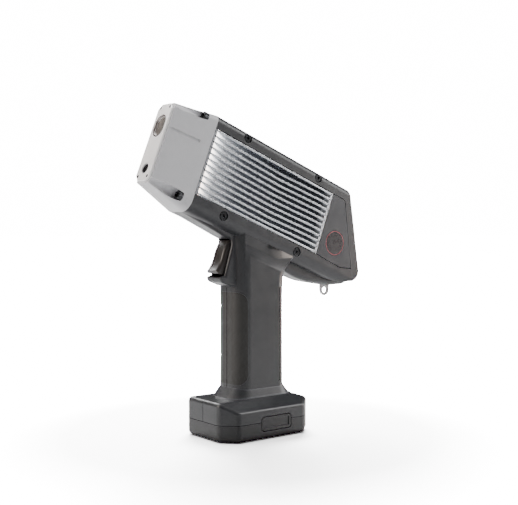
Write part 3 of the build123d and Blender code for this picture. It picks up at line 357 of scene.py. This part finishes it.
SINK_HALF_MM, SINK_INNER_MM, SINK_START_MM, SINK_END_MM = 27.6, 6.5, 0.65, 134.2
FIN_COUNT, FIN_MM, FIN_FOOT_MM, FIN_BREAK_MM = 12, 1.5, 2.1, 0.22
FIN_START_MM, FIN_END_MM, FIN_ROOT_MM, EDGE_OVER_X_MM = 1.2, 133.4, 8.0, 9.0
FLANGE_X_MM, FLANGE_S_MM, FLANGE_T_MM = (10.6, 13.6), (12.0, 126.2), (27.0, 35.6)
FLOOR_MM = [(2.45, 17.8), (5.0, 16.9), (9.0, 15.9), (15.0, 14.9), (79.0, 8.9), (115.5, 11.4), (121.0, 12.2),
            (126.0, 13.7), (129.6, 15.6), (132.0, 17.8)]


def slab(work, outline_mm, low_t, high_t):
    """A slab between two heights in the head's own frame, from an outline of (s, x) points."""
    corners = [work.verts.new(Vector((x, s, low_t)) * MM) for s, x in outline_mm]
    raised = bmesh.ops.extrude_face_region(work, geom=[work.faces.new(corners)])["geom"]
    bmesh.ops.translate(work, vec=(0, 0, (high_t - low_t) * MM),
                        verts=only(bmesh.types.BMVert, raised))


def heat_sink(side):
    """Dished floor, bevelled fins and the screw flanges of one side's heat sink."""
    work = bmesh.new()
    slab(work, FLOOR_MM + [(SINK_END_MM, SINK_OUTER_MM), (SINK_END_MM, SINK_INNER_MM),
                           (SINK_START_MM, SINK_INNER_MM), (SINK_START_MM, SINK_OUTER_MM)],
         -SINK_HALF_MM, SINK_HALF_MM)
    rim_and_floor = set(work.edges)
    front, back = (FIN_START_MM, SINK_OUTER_MM), [(FIN_END_MM, SINK_OUTER_MM), (FIN_END_MM, FIN_ROOT_MM),
                                                  (FIN_START_MM, FIN_ROOT_MM)]
    dished = [(CREST_START_MM, SINK_OUTER_MM), (DISH_MM, SINK_OUTER_MM - DISH_DEPTH_MM),
              (DISH_END_MM, SINK_OUTER_MM)]
    pitch = (2 * SINK_HALF_MM - FIN_FOOT_MM) / (FIN_COUNT - 1)
    for index in range(FIN_COUNT):
        middle = -SINK_HALF_MM + FIN_FOOT_MM / 2 + index * pitch
        crest = [] if index in (0, FIN_COUNT - 1) else dished
        slab(work, [front] + crest + back, middle - FIN_MM / 2, middle + FIN_MM / 2)
    crest_edges = [edge for edge in work.edges if edge not in rim_and_floor
                   and all(v.co.x > EDGE_OVER_X_MM * MM for v in edge.verts)
                   and abs(edge.verts[0].co.z - edge.verts[1].co.z) < SAME_PLACE]
    bmesh.ops.bevel(work, geom=crest_edges, offset=FIN_BREAK_MM * MM, affect="EDGES", segments=2,
                    profile=0.5, material=-1)
    for end in (-1, 1):
        flange = bmesh.ops.create_cube(work, size=1)["verts"]
        spans = (FLANGE_X_MM, FLANGE_S_MM, tuple(sorted(end * t for t in FLANGE_T_MM)))
        bmesh.ops.scale(work, vec=[(high - low) * MM for low, high in spans], verts=flange)
        bmesh.ops.translate(work, vec=[(high + low) / 2 * MM for low, high in spans], verts=flange)
    bmesh.ops.scale(work, vec=(side, 1, 1), verts=work.verts)
    bmesh.ops.transform(work, matrix=HEAD, verts=work.verts)
    return work


for side, name in ((1, "left"), (-1, "right")):
    finished("finned_sink_" + name, heat_sink(side), fins, replaces=["heat_sink_" + name],
             smooth_angle=9)

# ---------------------------------------------------------------- side panels and badges
# Moulded panels behind the heat sinks, finer grained than the shell, each with a sunk round badge:
# a plain dark disc under clear lacquer in a thin red anodised ring.
dress(pair("side_panel"), moulded("panel moulding", "#292b30", "#43464c", 0.35, 0.3, 0.006),
      0.2)
badge_black, badge_tree, badge_shader, badge_place = start_finish(
    "lacquered badge", "#1d181b", 0.3, Coat_Weight=0.5)
uneven_gloss(badge_tree, badge_shader, badge_place, 0.3, 0.06, 4)
fine_grain(badge_tree, badge_shader, badge_place, 0.6, 0.004)
dress(pair("badge"), badge_black, 0.15)
badge_red, red_tree, red_shader, red_place = start_finish("red anodised ring", "#a5585f", 0.32, 0.3)
uneven_gloss(red_tree, red_shader, red_place, 0.32, 0.06, 2)
dress(pair("badge_ring"), badge_red, 0)

# ---------------------------------------------------------------- rear bezel and display
# One moulded frame closes the head's rear and holds the display behind toughened glass. The glass is
# black printed round its edge, and the dark screen shows a little greyer inside the print.
REAR_LEAN = math.radians(29.8)
dress(["rear_bezel"], moulded("bezel moulding", "#232428", "#43454a", 0.39), 0.25)
screen_glass, screen_tree, screen_shader, screen_place = start_finish(
    "printed display glass", "#0a0b0d", 0.05, Coat_Weight=1.0, Coat_Roughness=0.03)
# The screen is placed in the rear face's frame, whose origin is the middle of its top edge.
REAR_TOP = HEAD @ (Vector((0, 152.7, 39.0)) * MM)
REAR_TURN = -HEAD_PITCH + REAR_LEAN
SCREEN_HALF_WIDTH_MM, SCREEN_HALF_HEIGHT_MM, SCREEN_DROP_MM = 11.6, 24.0, 36.0
to_rear = add(screen_tree, "Mapping", {"Vector": screen_place, "Location": REAR_TOP,
                                       "Rotation": (REAR_TURN, 0, 0)}, vector_type="TEXTURE")
screen_split = add(screen_tree, "SeparateXYZ", {"Vector": to_rear.outputs["Vector"]})
aside = add(screen_tree, "Math", {0: screen_split.outputs["X"]}, operation="ABSOLUTE").outputs[0]
from_middle = add(screen_tree, "Math", {0: screen_split.outputs["Z"], 1: SCREEN_DROP_MM * MM},
                  operation="ADD")
up_or_down = add(screen_tree, "Math", {0: from_middle.outputs[0]}, operation="ABSOLUTE").outputs[0]
within_width = add(screen_tree, "Math", {0: aside, 1: SCREEN_HALF_WIDTH_MM * MM}, operation="LESS_THAN")
within_height = add(screen_tree, "Math", {0: up_or_down, 1: SCREEN_HALF_HEIGHT_MM * MM},
                    operation="LESS_THAN")
in_screen = add(screen_tree, "Math", {0: within_width.outputs[0], 1: within_height.outputs[0]},
                operation="MULTIPLY").outputs[0]
screen_tone = add(screen_tree, "Mix", {"Factor": in_screen, "A": linear("#060607"), "B": linear("#20252b")},
                  data_type="RGBA")
screen_tree.links.new(screen_tone.outputs["Result"], screen_shader.inputs["Base Color"])
uneven_gloss(screen_tree, screen_shader, screen_place, 0.07, 0.02, 20)
dress(["display_glass"], screen_glass, 0.15)
dress(["power_button"], moulded("key rubber", "#3a3b40", "#55565b", 0.52, 0.25, 0.005), 0)

# ---------------------------------------------------------------- neck fairing
# The moulding fairs the flare behind the handle up into the head's rounded underside. It is one with
# the shell, of the same plastic, and fills the notch above the flare on both sides.
FAIRING_HALF_MM, FAIRING_FRONT_MM, FAIRING_REAR_MM = 17.4, 8.0, 39.0
FAIRING_LOW_MM, FAIRING_HIGH_MM, FAIRING_CORNER_MM = 144.9, 158.0, 8.0
FAIRING_SIDE_MM, FAIRING_ROOF_T_MM = 16.2, -37.6
shell_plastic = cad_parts["shell_left"].material_slots[0].material
fairing = bmesh.new()
bmesh.ops.create_cube(fairing, size=1)
bmesh.ops.scale(fairing, vec=Vector((2 * FAIRING_HALF_MM, FAIRING_REAR_MM - FAIRING_FRONT_MM,
                                     FAIRING_HIGH_MM - FAIRING_LOW_MM)) * MM, verts=fairing.verts)
bmesh.ops.translate(fairing, vec=Vector((0, (FAIRING_REAR_MM + FAIRING_FRONT_MM) / 2,
                                         (FAIRING_HIGH_MM + FAIRING_LOW_MM) / 2)) * MM, verts=fairing.verts)
rear_edges = [edge for edge in fairing.edges
              if all(v.co.y > (FAIRING_REAR_MM - 1) * MM for v in edge.verts)
              and abs(edge.verts[0].co.x - edge.verts[1].co.x) < SAME_PLACE]
bmesh.ops.bevel(fairing, geom=rear_edges, offset=FAIRING_CORNER_MM * MM, affect="EDGES", segments=10,
                profile=0.5, material=-1)
for point, normal in ((Vector((FAIRING_SIDE_MM, 0, 0)) * MM, Vector((1, 0, 0))),
                      (Vector((-FAIRING_SIDE_MM, 0, 0)) * MM, Vector((-1, 0, 0))),
                      (HEAD @ (Vector((0, 0, FAIRING_ROOF_T_MM)) * MM), HEAD.to_3x3() @ Vector((0, 0, 1)))):
    whole = list(fairing.verts) + list(fairing.edges) + list(fairing.faces)
    cut = bmesh.ops.bisect_plane(fairing, geom=whole, plane_co=point, plane_no=normal, clear_outer=True)
    bmesh.ops.edgeloop_fill(fairing, edges=only(bmesh.types.BMEdge, cut["geom_cut"]))
finished("neck_fairing", fairing, shell_plastic)

# ---------------------------------------------------------------- foot fairing
# Where the handle meets the base, the moulding runs out in a concave foot: down to the flat top in
# front and behind, and over the shoulders at the sides. It is one with the shell.
HANDLE_HALF_MM, HANDLE_FRONT_MM, HANDLE_REAR_MM = 17.4, -22.0, 27.0
FRONT_CORNER_MM, REAR_CORNER_MM = 12.0, 8.0
FOOT_END_MM, FOOT_SIDE_MM, BASE_TOP_MM = 8.6, 9.5, 31.6
BASE_FLAT_HALF_MM, SHOULDER_FALL_MM, SHOULDER_RUN_MM = 20.5, 7.6, 12.5
SHOULDER_ANGLE = math.atan2(SHOULDER_FALL_MM, SHOULDER_RUN_MM)
FOOT_STEPS, FOOT_WALL_MM, FOOT_SUNK_MM, CORNER_STEPS, CORNER_CLOSE_MM = 12, 1.0, 0.03, 14, 0.01


def outline_normal(x, y):
    """The handle outline's outward direction at one of its points, in millimetres."""
    low, high = HANDLE_FRONT_MM + FRONT_CORNER_MM, HANDLE_REAR_MM - REAR_CORNER_MM
    corner = FRONT_CORNER_MM if y < low else REAR_CORNER_MM
    flat = HANDLE_HALF_MM - corner
    if low <= y <= high:
        return Vector((math.copysign(1, x), 0))
    middle = Vector((max(-flat, min(flat, x)), low if y < low else high))
    return (Vector((x, y)) - middle).normalized()


def foot_place(x, y, share, inward=0.0):
    """Where a point of the handle's outline goes, from the foot's top (share 0) to its toe (share 1).

    The ends run out level; the sides stop where their arc meets the sloping shoulder."""
    normal = outline_normal(x, y)
    end_turn, side_turn = share * math.pi / 2, share * (math.pi / 2 - SHOULDER_ANGLE)
    slope_sine, slope_cosine = math.sin(SHOULDER_ANGLE), math.cos(SHOULDER_ANGLE)
    ledge = BASE_FLAT_HALF_MM - HANDLE_HALF_MM
    centre_z = BASE_TOP_MM + (FOOT_SIDE_MM - (FOOT_SIDE_MM - ledge) * slope_sine) / slope_cosine
    end = Vector((FOOT_END_MM * (1 - math.cos(end_turn)),
                  BASE_TOP_MM + FOOT_END_MM * (1 - math.sin(end_turn))))
    flank = Vector((FOOT_SIDE_MM * (1 - math.cos(side_turn)),
                    centre_z - FOOT_SIDE_MM * math.sin(side_turn)))
    reach, height = flank.lerp(end, normal.y ** 2)
    moved = Vector((x, y)) + normal * (reach - inward - FOOT_SUNK_MM)
    return Vector((moved.x, moved.y, height - inward)) * MM


foot = bmesh.new()
bmesh.ops.create_grid(foot, x_segments=1, y_segments=1, size=1)
for vert in foot.verts:
    vert.co = Vector((math.copysign(HANDLE_HALF_MM, vert.co.x),
                      HANDLE_FRONT_MM if vert.co.y < 0 else HANDLE_REAR_MM, 0))
for end_y, radius in ((HANDLE_FRONT_MM, FRONT_CORNER_MM), (HANDLE_REAR_MM, REAR_CORNER_MM)):
    corners = [vert for vert in foot.verts
               if math.hypot(abs(vert.co.x) - HANDLE_HALF_MM, vert.co.y - end_y) < CORNER_CLOSE_MM]
    bmesh.ops.bevel(foot, geom=corners, offset=radius, affect="VERTICES", segments=CORNER_STEPS,
                    profile=0.5, material=-1)
bmesh.ops.delete(foot, geom=list(foot.faces), context="FACES_ONLY")
outline = list(foot.verts) + list(foot.edges)
# Rings down the outer skin, then back up behind it: (share of the way down, how far inward).
ring_places = [(step / FOOT_STEPS, 0.0) for step in range(FOOT_STEPS + 1)] + [(1.0, FOOT_WALL_MM)]
rings = [only(bmesh.types.BMEdge, bmesh.ops.duplicate(foot, geom=outline)["geom"]) for _ in ring_places]
bmesh.ops.delete(foot, geom=outline, context="VERTS")
for (share, inward), ring in zip(ring_places, rings):
    for vert in {v for edge in ring for v in edge.verts}:
        vert.co = foot_place(vert.co.x, vert.co.y, share, inward)
for upper, lower in zip(rings, rings[1:] + rings[:1]):
    bmesh.ops.bridge_loops(foot, edges=upper + lower)
finished("foot_fairing", foot, shell_plastic, smooth_angle=60)

# ---------------------------------------------------------------- soft grips
# Thermoplastic elastomer skins on the front and the back of the handle, moulded with a fine matt
# grain. Black strips laid in the shell's parting lines are painted shade for the open seams.
soft, soft_tree, soft_shader, soft_place = start_finish(
    "soft elastomer", "#1d1c1b", 0.5, IOR=1.47, Sheen_Weight=0.06)
uneven_gloss(soft_tree, soft_shader, soft_place, 0.5, 0.06, 9)
fine_grain(soft_tree, soft_shader, soft_place, 0.45, 0.014)
dress(pair("front_grip") + pair("rear_strip"), soft, 0.3)
dress(["port_cover"], soft, 0.2)

# A dead black strip standing a hair proud in the seam is painted shade, drawn where the open seam line is
# shaded.
# It runs up the handle's front and up the base's front: (place along y, lowest z, highest z).
BEAD_RADIUS_MM, BEAD_SIDES = 0.45, 12
BEAD_RUNS_MM = [(-21.7, 40.0, 121.5), (-45.65, 15.0, 28.2)]
seam_shade_black, seam_shade_tree, seam_shade_shader, seam_shade_place = start_finish(
    "painted seam shade", "#020202", 0.9, Specular_IOR_Level=0.1)
fine_grain(seam_shade_tree, seam_shade_shader, seam_shade_place, 0.4, 0.01)
bead = bmesh.new()
for bead_y, low, high in BEAD_RUNS_MM:
    end_disc = bmesh.ops.create_circle(bead, cap_ends=True, segments=BEAD_SIDES,
                                       radius=BEAD_RADIUS_MM * MM)["verts"]
    bmesh.ops.translate(bead, vec=Vector((0, bead_y, low)) * MM, verts=end_disc)
    raised = bmesh.ops.extrude_face_region(bead, geom=list(set(end_disc[0].link_faces)))["geom"]
    bmesh.ops.translate(bead, vec=(0, 0, (high - low) * MM), verts=only(bmesh.types.BMVert, raised))
finished("front_seam_shade", bead, seam_shade_black)

# A flat strip of the same black fills the joint between the base and the pack, open at the buttons: painted
# shade for the shaded joint.
BASE_HALF_X_MM, BASE_HALF_Y_MM, BASE_CHAMFER_MM, BASE_CORNER_MM = 33.0, 46.0, 12.0, 3.0
JOINT_SHADE_LOW_MM, JOINT_SHADE_MM, JOINT_SHADE_SINK_MM, JOINT_SHADE_WIDTH_MM = 13.85, 0.5, 0.2, 1.5
BUTTON_FRONT_MM, BUTTON_REAR_MM = -11.9, 19.9
joint_shade = bmesh.new()
bmesh.ops.create_grid(joint_shade, x_segments=1, y_segments=1, size=1)
bmesh.ops.scale(joint_shade, vec=((BASE_HALF_X_MM - JOINT_SHADE_SINK_MM) * MM,
                             (BASE_HALF_Y_MM - JOINT_SHADE_SINK_MM) * MM, 1), verts=joint_shade.verts)
for size_mm, segments in ((BASE_CHAMFER_MM, 1), (BASE_CORNER_MM, 5)):
    bmesh.ops.bevel(joint_shade, geom=list(joint_shade.verts), offset=size_mm * MM, affect="VERTICES",
                    segments=segments, profile=0.5, material=-1)
bmesh.ops.inset_region(joint_shade, faces=list(joint_shade.faces), thickness=JOINT_SHADE_WIDTH_MM * MM,
                       use_boundary=True)
middle_face = max(joint_shade.faces, key=lambda face: face.calc_area())
bmesh.ops.delete(joint_shade, geom=[middle_face], context="FACES_ONLY")
for y in (BUTTON_FRONT_MM, BUTTON_REAR_MM):
    bmesh.ops.bisect_plane(joint_shade, geom=list(joint_shade.verts) + list(joint_shade.edges) + list(joint_shade.faces),
                           plane_co=(0, y * MM, 0), plane_no=(0, 1, 0))
beside_button = [face for face in joint_shade.faces
                 if BUTTON_FRONT_MM * MM < face.calc_center_median().y < BUTTON_REAR_MM * MM]
bmesh.ops.delete(joint_shade, geom=beside_button, context="FACES")
bmesh.ops.translate(joint_shade, vec=(0, 0, JOINT_SHADE_LOW_MM * MM), verts=joint_shade.verts)
raised = bmesh.ops.extrude_face_region(joint_shade, geom=list(joint_shade.faces))["geom"]
bmesh.ops.translate(joint_shade, vec=(0, 0, JOINT_SHADE_MM * MM), verts=only(bmesh.types.BMVert, raised))
finished("base_joint_shade", joint_shade, seam_shade_black)

# ---------------------------------------------------------------- trigger
# A nylon trigger blade on a steel pin, moulded in the shell's plastic but polished by the finger.
# The pin, the leaf springs and the lanyard tab are stainless steel.
dress(["trigger"], moulded("polished nylon", "#25211f", "#4c4644", 0.33, 0.3, 0.005), 0.3)
dress(["trigger_pin", "lanyard_tab"], plain_steel, 0.1)
dress(pair("latch_spring") + ["trigger_spring"], plain_steel, 0)

# ---------------------------------------------------------------- battery pack
# The pack's case and lid are moulded like the shell from a slightly blacker batch, with their edges rubbed
# paler. The release buttons are smoother.
pack_plastic = moulded("pack moulding", "#1e1e20", "#45464a", 0.39)
dress(["battery_case", "battery_lid"], pack_plastic, 0.3)
dress(pair("latch_button"), moulded("button moulding", "#19191b", "#3c3d40", 0.38, 0.3, 0.006),
      0.3)

# ---------------------------------------------------------------- inner pieces
# Glass-epoxy boards under green solder mask, black moulded modules, a machined aluminium chassis,
# sleeved lithium cells and gold-plated contacts. They show only when the instrument is taken apart.
mask, mask_tree, mask_shader, mask_place = start_finish("solder mask", "#1d5a36", 0.3, Coat_Weight=0.4)
mask_tone = uneven_gloss(mask_tree, mask_shader, mask_place, 0.32, 0.06, 1.6)
mask_mix = add(mask_tree, "Mix", {"Factor": mask_tone, "A": linear("#174a2c"), "B": linear("#266f45")},
               data_type="RGBA")
mask_tree.links.new(mask_mix.outputs["Result"], mask_shader.inputs["Base Color"])
dress(["main_board", "handle_board", "key_board"], mask, 0)

dress(["display_module", "hv_supply", "trigger_switch", "data_socket", "contact_block"],
      moulded("module moulding", "#26272a", "#3d3e41", 0.5, 0.3, 0.006), 0)

machined, machined_tree, machined_shader, machined_place = start_finish(
    "machined aluminium", "#b4b6ba", 0.35, 1.0)
uneven_gloss(machined_tree, machined_shader, machined_place, 0.35, 0.06, 6)
fine_grain(machined_tree, machined_shader, machined_place, 0.4, 0.004, (1, 0.1, 1))
dress(["chassis", "xray_tube", "detector", "trigger_bracket"], machined, 0)

sleeve, sleeve_tree, sleeve_shader, sleeve_place = start_finish("shrink sleeve", "#2f6c92", 0.36)
uneven_gloss(sleeve_tree, sleeve_shader, sleeve_place, 0.36, 0.08, 5)
fine_grain(sleeve_tree, sleeve_shader, sleeve_place, 3.0, 0.05)
dress(["battery_cells"], sleeve, 0.4)

gold, gold_tree, gold_shader, gold_place = start_finish("gold plate", "#c8a052", 0.26, 1.0)
uneven_gloss(gold_tree, gold_shader, gold_place, 0.26, 0.06, 1)
dress(["battery_terminals"], gold, 0.05)

# ---------------------------------------------------------------- stage: paper floor and daylight
# White paper on the floor and behind, overexposed to the camera as in a studio shot. It bounces light
# back at the object like plain paper. It has a lamp of its own, whose shadow falls in front.
PAPER_ALBEDO = 0.85
NEAR_GAIN, FAR_GAIN = 4.6, 60.0
NEAR_REACH, FAR_REACH = 0.15, 1.2
FLOOR_SIZE, FLOOR_HEIGHT = 40, -0.0002
paper = bpy.data.materials.new("floor paper")
paper.use_nodes = True
paper_tree = paper.node_tree
paper_tree.nodes.remove(paper_tree.nodes["Principled BSDF"])
reach = add(paper_tree, "VectorMath", {0: add(paper_tree, "TexCoord").outputs["Object"]}, operation="LENGTH")
gain = add(paper_tree, "MapRange", {"Value": reach.outputs["Value"], "From Min": NEAR_REACH,
                                    "From Max": FAR_REACH, "To Min": NEAR_GAIN, "To Max": FAR_GAIN})
seen = add(paper_tree, "LightPath").outputs["Is Camera Ray"]
albedo = add(paper_tree, "MapRange", {"Value": seen, "To Min": PAPER_ALBEDO,
                                      "To Max": gain.outputs["Result"]})
white = add(paper_tree, "BsdfDiffuse", {"Color": albedo.outputs["Result"]})
paper_tree.links.new(white.outputs["BSDF"], paper_tree.nodes["Material Output"].inputs["Surface"])

bpy.ops.mesh.primitive_plane_add(size=FLOOR_SIZE, location=(0, 0, FLOOR_HEIGHT))
floor = bpy.context.object
floor.name = "floor"
floor.data.materials.append(paper)
floor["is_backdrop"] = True

INSTRUMENT = bpy.data.collections.new("instrument")
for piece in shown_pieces():
    INSTRUMENT.objects.link(piece)
PAPER = bpy.data.collections.new("paper")
PAPER.objects.link(floor)


def area_light(name, place, target, size, power, lit=None, colour="#ffffff"):
    """A square softbox at a place, turned to a target. With lit, only that collection sees it."""
    data = bpy.data.lights.new(name, "AREA")
    data.size, data.energy, data.color = size, power, linear(colour)[:3]
    light = bpy.data.objects.new(name, data)
    light.location = place
    light.rotation_euler = (Vector(target) - Vector(place)).to_track_quat("-Z", "Y").to_euler()
    bpy.context.collection.objects.link(light)
    if lit:
        light.light_linking.receiver_collection = lit


area_light("paper", (-0.75, 0.6, 1.0), (0, 0, 0), 0.7, 40, PAPER)
area_light("front", (-0.5, -1.5, 0.8), (0, 0, 0.15), 0.8, 29, INSTRUMENT, "#fff3e9")
area_light("top", (-0.3, -0.1, 1.8), (0, 0, 0.0), 1.2, 22)
area_light("warm bounce", (0.3, 0.8, 0.05), (0, 0.05, 0.15), 0.3, 2.5, INSTRUMENT, "#ffe2cc")
area_light("rim right", (-1.3, 0.05, 1.05), (0, 0, 0.15), 0.5, 14, INSTRUMENT)
area_light("rear high", (0.85, 0.85, 1.15), (0, 0, 0.1), 0.5, 15, INSTRUMENT)
area_light("rear left", (0.62, 1.35, 0.5), (0, 0, 0.17), 0.8, 13, INSTRUMENT)
SKY_STRENGTH, SKY_SPREAD, SKY_TILT = 1.0, math.radians(70), (math.radians(12), math.radians(-14), 0)
sky_light = bpy.data.lights.new("sky", "SUN")
sky_light.energy, sky_light.angle = SKY_STRENGTH, SKY_SPREAD
sky = bpy.data.objects.new("sky", sky_light)
sky.rotation_euler = SKY_TILT
bpy.context.collection.objects.link(sky)

WORLD_GLOW, WORLD_SEEN = 0.12, 16.0
world = bpy.data.worlds.new("studio")
world.use_nodes = True
world_seen = add(world.node_tree, "LightPath").outputs["Is Camera Ray"]
glow = add(world.node_tree, "MapRange", {"Value": world_seen, "To Min": WORLD_GLOW, "To Max": WORLD_SEEN})
background = world.node_tree.nodes["Background"]
background.inputs["Color"].default_value = linear("#ffffff")
world.node_tree.links.new(glow.outputs["Result"], background.inputs["Strength"])
bpy.context.scene.world = world

# ---------------------------------------------------------------- camera
# A long lens almost level with the handle, off the instrument's front left.
CAMERA_AZIMUTH, CAMERA_ELEVATION = math.radians(51.8), math.radians(1.41)
CAMERA_PLACE_MM, SENSOR_MM, LENS_MM, NEAREST_SEEN = (604.08, -463.7, 168.65), 36, 63.48, 0.05
back = Vector((math.sin(CAMERA_AZIMUTH) * math.cos(CAMERA_ELEVATION),
               -math.cos(CAMERA_AZIMUTH) * math.cos(CAMERA_ELEVATION), math.sin(CAMERA_ELEVATION)))
camera = bpy.data.objects.new("camera", bpy.data.cameras.new("camera"))
camera.data.sensor_width, camera.data.lens = SENSOR_MM, LENS_MM
camera.data.clip_start = NEAREST_SEEN
camera.location = Vector(CAMERA_PLACE_MM) * MM
camera.rotation_euler = (-back).to_track_quat("-Z", "Y").to_euler()
bpy.context.collection.objects.link(camera)
bpy.context.scene.camera = camera
